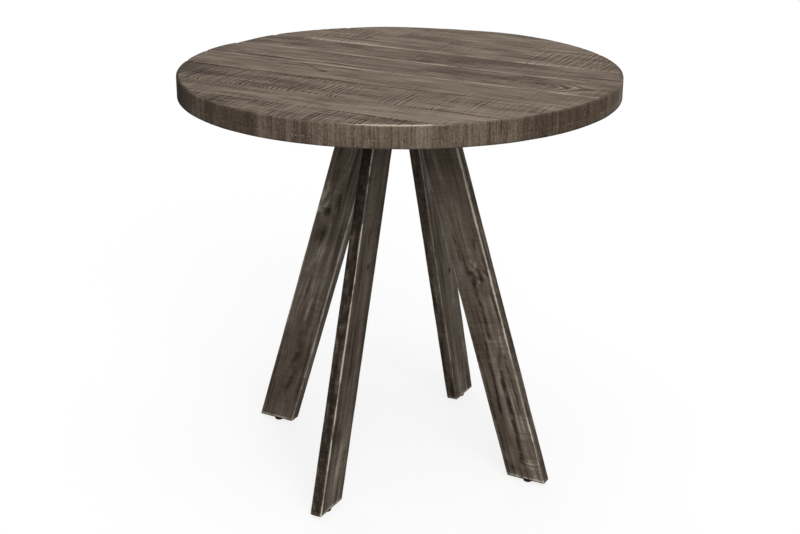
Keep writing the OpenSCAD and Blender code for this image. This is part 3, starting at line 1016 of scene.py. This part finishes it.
# Place down the leg and across it, half length, half width and strength of the stain.
KNOTS = {
    "left": [(253, 15, 8, 5.5, 1.5), (302, 14, 17, 8, 0.45), (590, -6, 30, 7, 0.4)],
    "right": [],
    "front": [(300, -8, 5, 3, 0.9)],
    "rear": [(420, 10, 5, 3, 0.9)],
}
# Place down and across, half length, half width, and how much paler (or darker, below 0) the patch is.
STAIN_PATCHES = {
    "left": [
        (232, 30, 42, 17, 1.4), (245, -1, 42, 7, -1.1), (440, 8, 90, 26, 0.4), (690, 0, 60, 60, -0.5),
    ],
    "front": [(650, 0, 80, 60, 0.35), (430, 0, 130, 60, -0.3)],
}
SIDE_TONES = {"right": 0.26, "rear": 0.15, "left": 0.25, "front": -0.2}
NARROW_DARK = {"right": 0.5, "rear": 0.4, "left": 0.1, "front": 1.0}
# How much the wear and the painted highlight of the corners fade, and from where to where.
WEAR_AND_HIGHLIGHT_FADES = {"right": (0.85, 470, 625), "rear": (0.2, 405, 900), "left": (0.3, 405, 900)}
# Start and end down the leg, place across at both, half width and darkness of each torn streak.
TORN_STREAKS = [
    (250, 305, -18, -17, 2.8, 0.8), (234, 278, 22, 19, 3.0, 0.7), (316, 332, -6, -4, 3.2, 1.0),
    (328, 346, 1, 3, 3.4, 1.2), (322, 340, 15, 17, 3.2, 1.1), (312, 326, 25, 29, 5.0, 0.7),
    (346, 456, 0, 2, 3.4, 1.1), (350, 440, 29, 33, 2.4, 1.0), (449, 606, -8, -15, 2.4, 0.9),
    (475, 556, 14, 4, 3.0, 0.8), (540, 616, 4, 9, 3.6, 1.3), (485, 600, 24, 25, 2.4, 0.8),
    (618, 706, 6, 2, 3.2, 1.2), (440, 716, -30, -29, 2.2, 0.8),
]
# A leg's corner, by the signs of its two directions, and how bright its painted highlight is; these corners
# face the light.
CORNER_HIGHLIGHTS = {
    ("front", 1, 1): 1.0, ("left", -1, 1): 0.95, ("rear", -1, -1): 0.6, ("right", 1, -1): 0.95,
}
TORN_PATCH = (325, 12, 34, 20)
FOOT_ARCS = (705, 18, 11, 14)
FOOT_STAIN = (722, -21, 8, 9)
LEAST_RUBBED = 0.3
CORNER_WEAR_AND_HIGHLIGHT = 1.7
print("knots:", {side: len(knots) for side, knots in KNOTS.items()}, "torn streaks:", len(TORN_STREAKS))

# %% [markdown]
# ## Skin of a leg
#
# The skin is a function of the length down the leg and of the place round its section. It gives the depth to
# carve, the marks, and the flow of the grain, which bends round each knot. Drift that is stretched along the
# flow makes the streaks.

# %% Carve a leg's skin


def torn_figure(down, u, hollow, tone, wide):
    """Torn grain on the right leg's face: dark flecks with paler wood between them, streaks that are bell
    curves across slanting paths and fade at both ends, and pale arcs at the foot."""
    patch = spot(down, u, *TORN_PATCH) * wide
    flecks = drift(down / 8, u / 5, 171)
    hollow = hollow + 0.5 * patch * np.clip(flecks + 0.1, 0, 1)
    tone = tone + 0.9 * patch * np.clip(-flecks, 0, 1)
    torn = uneven(down / 9, u / 4, 174, 0.75, 0.8, 0.1, 1.2) * wide
    for start, end, across, across_end, broad, amount in TORN_STREAKS:
        path = across + (across_end - across) * (down - start) / (end - start)
        path = path + 1.5 * drift(down / 28, 0 * u, 172)
        length = ramp(down, start - 7, start + 5) * ramp(down, end + 7, end - 5)
        hollow = hollow + amount * length * bell(u, path, broad) * torn
    arcs = spot(down, u, *FOOT_ARCS) * wide
    waves = np.sin((down + 0.012 * (u - FOOT_ARCS[1]) ** 2) * 2 * np.pi / 8)
    tone = tone + arcs * np.clip(waves, 0, 1)
    return hollow + 0.5 * spot(down, u, *FOOT_STAIN) * wide, tone


def worn_and_highlit_corners(side, down, u, v, corner, rub_and_highlight):
    """How strongly each corner is worn and highlighted, and the mark: a painted highlight on the corners
    that face the light and a little wear on the others, as a bell curve of the distance to the corner,
    broken up by the rub and faded between two places down the leg."""
    keen = LEAST_RUBBED
    for (where, su, sv), amount in CORNER_HIGHLIGHTS.items():
        if where == side:
            keen = np.where((np.sign(u) == su) & (np.sign(v) == sv), amount, keen)
    fade, start, end = WEAR_AND_HIGHLIGHT_FADES.get(side, (0.0, 0, 0))
    fading = 1 - fade * ramp(down, start - 25, start + 25) * ramp(down, end + 25, end - 25)
    rub_and_highlight_share = bell(corner, 0, CORNER_WEAR_AND_HIGHLIGHT + 0.8 * (keen > 0.9) * np.clip(rub_and_highlight, 0, 1))
    return keen, rub_and_highlight_share * keen * fading * np.clip(0.45 + 0.8 * rub_and_highlight, 0, 1)


def leg_skin(side, down, u, v):
    """Depth carved from a leg's skin, its marks and the flow of its grain, at a length down the leg and a
    place of the section: drift along the flow, oval knots, scored ripples, and the wear and painted
    highlight of the corners."""
    seed = 100 + 20 * SIDES[side]
    half_u, half_v = LEG_WIDTH / 2, LEG_THICK / 2
    wide = np.abs(np.abs(v) - half_v) < LEG_ROUND * 0.6
    skin = np.where(wide, u + 200 * np.sign(v), v + 500 * np.sign(u))
    corner = np.hypot(np.abs(u) - half_u, np.abs(v) - half_v)
    which = np.sign(u) * 3 + np.sign(v) * 7
    rub_and_highlight = 0.5 + 0.9 * drift(down / 28, which, seed) + 0.4 * drift(down / 6, which, seed + 1)
    rub_and_highlight = np.clip(rub_and_highlight, 0, 1.5)
    flow = skin + 4 * drift(down / 120, skin / 25, seed + 2)
    tone = 0.0 * down
    hollow = 0.0 * down
    deep = 0.12 * (1 + drift(down / 70, flow / 3.4, seed + 3))
    deep = deep + 0.25 * (1 + drift(down / 160, skin / 30, seed + 4))
    for place, across, long, broad, stain in KNOTS[side]:
        knot = spot(down, u, place, across, long, broad) * (np.abs(v) > half_v * 0.8)
        bow = spot(down, u, place, across, 4 * long, 3 * broad)
        flow = flow - (u - across) * 0.7 * bow * wide
        deep = deep + 0.7 * knot * stain
        stained = stain * knot * uneven(down / 7, u / 4, seed + 11, 0.8, 0.5, 0, 1.2)
        hollow = hollow + stained
        tone = tone + 0.1 * bow - 1.5 * stained
    streaks = drift(down / 150, flow / 6.5, seed + 5)
    dark = np.clip(drift(down / 60, flow / 4.0, seed + 6) - 0.25, 0, 1)
    ripple = scored(down + 0.25 * u, 7.0, 1.6, seed + 7)
    ripple = ripple * np.clip(drift(down / 90, skin / 60, seed + 8), 0, 1)
    deep = deep + 0.22 * dark + 0.25 * ripple
    hollow = hollow + 0.9 * dark + 0.35 * ripple
    tone = tone + 0.45 * streaks + 0.3 * drift(down / 200, skin / 18, seed + 9)
    for place, across, long, broad, amount in STAIN_PATCHES.get(side, []):
        cloud = uneven(down / 12, skin / 5, seed + 13, 1, 0.4, 0, 1.4)
        tone = tone + amount * spot(down, u, place, across, long, broad) * wide * cloud
    if side == "right":
        hollow, tone = torn_figure(down, u, hollow, tone, wide)
    edge = bell(corner, 0, CORNER_WEAR_AND_HIGHLIGHT)
    deep = deep + 0.5 * edge * rub_and_highlight
    keen, worn = worn_and_highlit_corners(side, down, u, v, corner, rub_and_highlight)
    beside = bell(corner, 6.5, 2.4) * wide
    mottle = uneven(down / 9, skin / 5, seed + 10, 0.85, 0.8, 0, 1.1)
    # Near a highlighted corner the narrow face is darkened less: painted light spilling from the highlight.
    glow = bell(corner, 0, 8) * (keen > 0.5) * uneven(down / 60, which, seed + 12, 0.55, 0.9, 0, 1)
    tone = tone + SIDE_TONES[side] - 0.35 * beside
    hollow = hollow + NARROW_DARK[side] * mottle * (~wide) * (1 - edge) * (1 - 0.7 * glow)
    marks = {"tone": np.clip(tone, -1.6, 1.8), "hollow": np.clip(hollow, 0, 1), "worn": worn}
    return deep, marks, flow


print("skin depth half way down:", leg_skin("rear", *np.array([[350.0], [0.0], [LEG_THICK / 2]]))[0])

# %% [markdown]
# ## Shape of a leg
#
# A leg is a plank that leans outwards and is cut level at both ends, so every level slice of it is the same
# rounded rectangle, shifted outwards on the way down. Loops of points go down the leg in small steps. At the
# foot they turn in to the drilled hole that holds the threaded insert, so the piece stays one closed shell.

# %% Carve the four legs
LEG_STEP = 2.3
SKIN_STEP = 1.9
CORNER_POINTS = 4
FOOT_HEIGHTS = np.array([4.0, 2.6, 1.4, 0.6, 0.0])
# Radius and height above the leg's end at each step of the drilled hole.
INSERT_HOLE = [(8.55, 0.0), (8.55, 1.55), (6.05, 1.55), (6.05, 20.0), (4.3, 20.0), (4.3, 27.0)]


def section_points():
    """Places round a leg's section, straight runs joined by quarter circles: u along its width, v along its
    thickness, and the outward direction at each."""
    half_u, half_v = LEG_WIDTH / 2, LEG_THICK / 2
    flat_u, flat_v = half_u - LEG_ROUND, half_v - LEG_ROUND
    along_u = np.linspace(-flat_u, flat_u, int(2 * flat_u / SKIN_STEP) + 1)
    along_v = np.linspace(-flat_v, flat_v, int(2 * flat_v / SKIN_STEP) + 1)
    turns = np.linspace(0, np.pi / 2, CORNER_POINTS + 2)[1:-1]
    sides = [
        (along_u, 0 * along_u - half_v, 0, -1, (flat_u, -flat_v)),
        (0 * along_v + half_u, along_v, 1, 0, (flat_u, flat_v)),
        (along_u[::-1], 0 * along_u + half_v, 0, 1, (-flat_u, flat_v)),
        (0 * along_v - half_u, along_v[::-1], -1, 0, (-flat_u, -flat_v)),
    ]
    parts = []
    for k, (u, v, nu, nv, (corner_u, corner_v)) in enumerate(sides):
        a = turns + (k - 1) * np.pi / 2
        cos, sin = np.cos(a), np.sin(a)
        parts.append([u, v, nu + 0 * u, nv + 0 * u])
        parts.append([corner_u + LEG_ROUND * cos, corner_v + LEG_ROUND * sin, cos, sin])
    return np.concatenate(parts, axis=1)


def carve_leg(side):
    """Loops of the rounded rectangle, shifted outwards by the lean times the way down and drawn in by the
    skin's depth, then the drilled end, and a flat cap at the head."""
    u, v, nu, nv = (np.append(a, a[0])[None, :] for a in section_points())
    top, bottom = LEG_HIGH[2], LEG_LOW[2]
    body = np.linspace(top - 0.8, bottom + 5.2, int((top - bottom) / LEG_STEP))
    z = np.concatenate([[top], body, bottom + FOOT_HEIGHTS])[:, None]
    grid = 0 * (u + z)
    down = (top - z) * math.sqrt(1 + LEG_TAN**2)
    deep, marks, flow = leg_skin(side, down + grid, u + grid, v + grid)
    end_ease = 1.3 * np.clip(1 - (z - bottom) / 1.6, 0, 1) ** 2 + 0.8 * (z == top)
    end_wear = 1 + 0.6 * drift(u / 9 + grid, v / 9 + grid, 180 + SIDES[side])
    deep = deep + end_ease * end_wear
    wear = marks["worn"] + 0.4 * bell(z, bottom + 4.0, 1.3) * np.clip(end_wear, 0, 1)
    marks["worn"] = np.clip(wear, 0, 1)
    marks["hollow"] = np.clip(marks["hollow"] + 0.9 * ramp(z, bottom + 2.5, bottom + 1), 0, 1)
    centre = LEG_LOW[0] + LEG_LEVEL_HALF + (top - z) * LEG_TAN
    cos_lean = 1 / math.sqrt(1 + LEG_TAN**2)
    r = centre + (u - nu * deep) / cos_lean
    w = v - nv * deep
    middle = centre[-1, 0]
    angle = np.arctan2(w[-1], r[-1] - middle)
    hole = [np.stack([middle + k * np.cos(angle), k * np.sin(angle), 0 * angle + bottom + h], axis=-1)
            for k, h in INSERT_HOLE]
    loops = np.concatenate([np.stack([r, w, z + grid], axis=-1), hole])
    marks.update(flow_x=down, flow_y=flow, flow_z=40 * SIDES[side])
    for key, value in marks.items():
        rows = value + grid
        marks[key] = np.concatenate([rows, np.repeat(rows[-1:], len(INSERT_HOLE), axis=0)])
    quarter = SIDES[side] * math.pi / 2
    points = turned(loops, round(math.cos(quarter)), round(math.sin(quarter)))
    shell = Shell()
    rings = shell.grid(points, marks)
    for end in (0, -1):
        shell.cap(rings[end, :-1])
    set_in_place(f"leg_{side}", "worn", shell, [legs_finish])


for side in SIDES:
    carve_leg(side)

# %% [markdown]
# ## Steel and plastic
#
# The plate and the shoes are powder coated: black, with a fine orange-peel skin and faint scuffs. The
# fasteners are zinc plated and dull, the studs are black oxide and the soles moulded nylon. They differ in
# colour, sheen and the size of their bumps, so one helper makes them all.

# %% The finishes of metal and plastic


def coated_finish(name, dark, pale, metallic, rough_low, rough_high, grain, bump_mm):
    """Two tones mixed by noise, scuffs from a second noise, and a fine skin of small bumps."""
    return mix_finish(
        name,
        {
            "skin": ("table", (grain, grain, grain), 3, 0.6),
            "cloud": ("table", (22, 22, 22), 5, 0.65),
            "scuff": ("table", (90, 240, 140), 6, 0.75, 0.4),
        },
        (-0.1, {"cloud": 0.6, "scuff": 0.5, "skin": 0.15}),
        [(0.25, dark), (0.75, pale)],
        (rough_low, {"scuff": rough_high - rough_low, "skin": 0.05}),
        {"skin": 1.0, "scuff": 0.2},
        bump_mm, metallic=metallic,
    )


FINISHES = {
    "black_steel": coated_finish(
        "powder_coated_steel", (22, 22, 23), (44, 44, 45), 0.0, 0.42, 0.62, 1500, 0.06),
    "zinc_steel": coated_finish("dull_zinc", (132, 134, 136), (190, 191, 190), 1.0, 0.3, 0.55, 700, 0.02),
    "stud_steel": coated_finish("black_oxide", (26, 26, 28), (62, 60, 58), 0.8, 0.34, 0.55, 600, 0.02),
    "sole_plastic": coated_finish("moulded_nylon", (14, 14, 14), (34, 33, 32), 0.0, 0.4, 0.65, 900, 0.04),
    "underside_wood": planed_along_y,
}


def dress_nodes():
    """Gives each construction part that still shows its slot's finish. The pad's grain runs along X."""
    dressed = 0
    for part in frame["record"]["subparts"]:
        name, slot = part["node"], part["material_slot"]
        if slot in FINISHES:
            mesh_object = frame["nodes"][name]
            finish = planed_along_x if name == "centre_pad" else FINISHES[slot]
            if not mesh_object.material_slots:
                mesh_object.data.materials.append(finish)
            for place in mesh_object.material_slots:
                place.material = finish
            dressed += 1
    print("dressed", dressed, "construction parts")


dress_nodes()

# %% [markdown]
# ## The floor
#
# The floor is a pale sheet. To the camera it is nearly white, and it still shows a soft shadow, because part
# of what the camera sees is real reflected light. From below it is clear, so the underside can be looked at.

# %% Lay the floor
FLOOR_HALF = 9.0
FLOOR_GREY = 0.43
FLOOR_GLOW_SHARE = 0.5
FLOOR_GLOW = 1.61


def mixed(tree, share, first, second):
    """Two shaders: the first where the share is 0, the second where it is 1."""
    return node(tree, "MixShader", {0: share, 1: first, 2: second}).outputs[0]


def lay_floor():
    """A large flat sheet. From above the camera sees reflected light mixed with an even white, and from
    below it sees through the sheet."""
    mesh = bpy.data.meshes.new("studio_floor")
    corners = [(-1, -1), (1, -1), (1, 1), (-1, 1)]
    mesh.from_pydata([(FLOOR_HALF * x, FLOOR_HALF * y, 0) for x, y in corners], [], [(0, 1, 2, 3)])
    material = bpy.data.materials.new("pale_floor")
    material.use_nodes = True
    tree = material.node_tree
    tree.nodes.clear()
    plain = node(tree, "BsdfDiffuse", {"Color": (FLOOR_GREY, FLOOR_GREY, FLOOR_GREY, 1)}).outputs[0]
    white = node(tree, "Emission", {"Strength": FLOOR_GLOW}).outputs[0]
    clear = node(tree, "BsdfTransparent").outputs[0]
    camera_ray = node(tree, "LightPath").outputs["Is Camera Ray"]
    below = reckoned(tree, "MULTIPLY", camera_ray, node(tree, "NewGeometry").outputs["Backfacing"])
    above = mixed(tree, camera_ray, plain, mixed(tree, FLOOR_GLOW_SHARE, plain, white))
    node(tree, "OutputMaterial", {"Surface": mixed(tree, below, above, clear)})
    mesh.materials.append(material)
    floor = bpy.data.objects.new("studio_floor", mesh)
    bpy.context.scene.collection.objects.link(floor)


lay_floor()
print("a floor of", 2 * FLOOR_HALF, "metres a side")

# %% [markdown]
# ## Light and background
#
# One far soft lamp shines from the front, one from above and a weaker one from behind, as large windows
# would. An even world light fills the shadows. A white thing on this stage would come out white, and the
# plain Standard view keeps the colours as they are.

# %% Light the table
WORLD_LIGHT = 0.11
# Degrees round the table and above the horizon, share of white, softness in degrees, seen as sheen or not.
LAMPS = {
    "front_light": (-48, 28, 0.60, 40, True),
    "top_light": (-48, 78, 0.44, 60, True),
    "back_light": (135, 24, 0.32, 60, False),
}
LAMP_DISTANCE = 3


def light_world():
    """An even world that looks white to camera, mirror and glass rays and is weaker as light."""
    world = bpy.data.worlds.new("studio")
    bpy.context.scene.world = world
    world.use_nodes = True
    tree = world.node_tree
    tree.nodes.clear()
    weak, white = (node(tree, "Background", {"Color": (1, 1, 1, 1), "Strength": strength}).outputs[0]
                   for strength in (WORLD_LIGHT, 1.0))
    rays = node(tree, "LightPath").outputs
    mirror = reckoned(tree, "MAXIMUM", rays["Is Camera Ray"], rays["Is Glossy Ray"])
    seen = reckoned(tree, "MAXIMUM", mirror, rays["Is Transmission Ray"])
    node(tree, "OutputWorld", {"Surface": mixed(tree, seen, weak, white)})


def hang_light(name, turn, height, share, softness, sheen):
    """A far soft light. A white sheet square to it shows the given share of white, so the lamp's strength is
    that share times pi. Its axes come from sines and cosines of the turn and the height."""
    turn, height = math.radians(turn), math.radians(height)
    data = bpy.data.lights.new(name, "SUN")
    data.energy = share * math.pi
    data.angle = math.radians(softness)
    back = np.array([math.cos(turn) * math.cos(height), math.sin(turn) * math.cos(height), math.sin(height)])
    side = np.cross([0, 0, 1], back)
    side = side / np.linalg.norm(side)
    lamp = stand_up(name, data, [side, np.cross(back, side), back], LAMP_DISTANCE * back)
    lamp.visible_glossy = sheen
    print(name, "has a strength of", round(data.energy, 2))


light_world()
for name, lamp in LAMPS.items():
    hang_light(name, *lamp)
bpy.context.scene.view_settings.view_transform = "Standard"
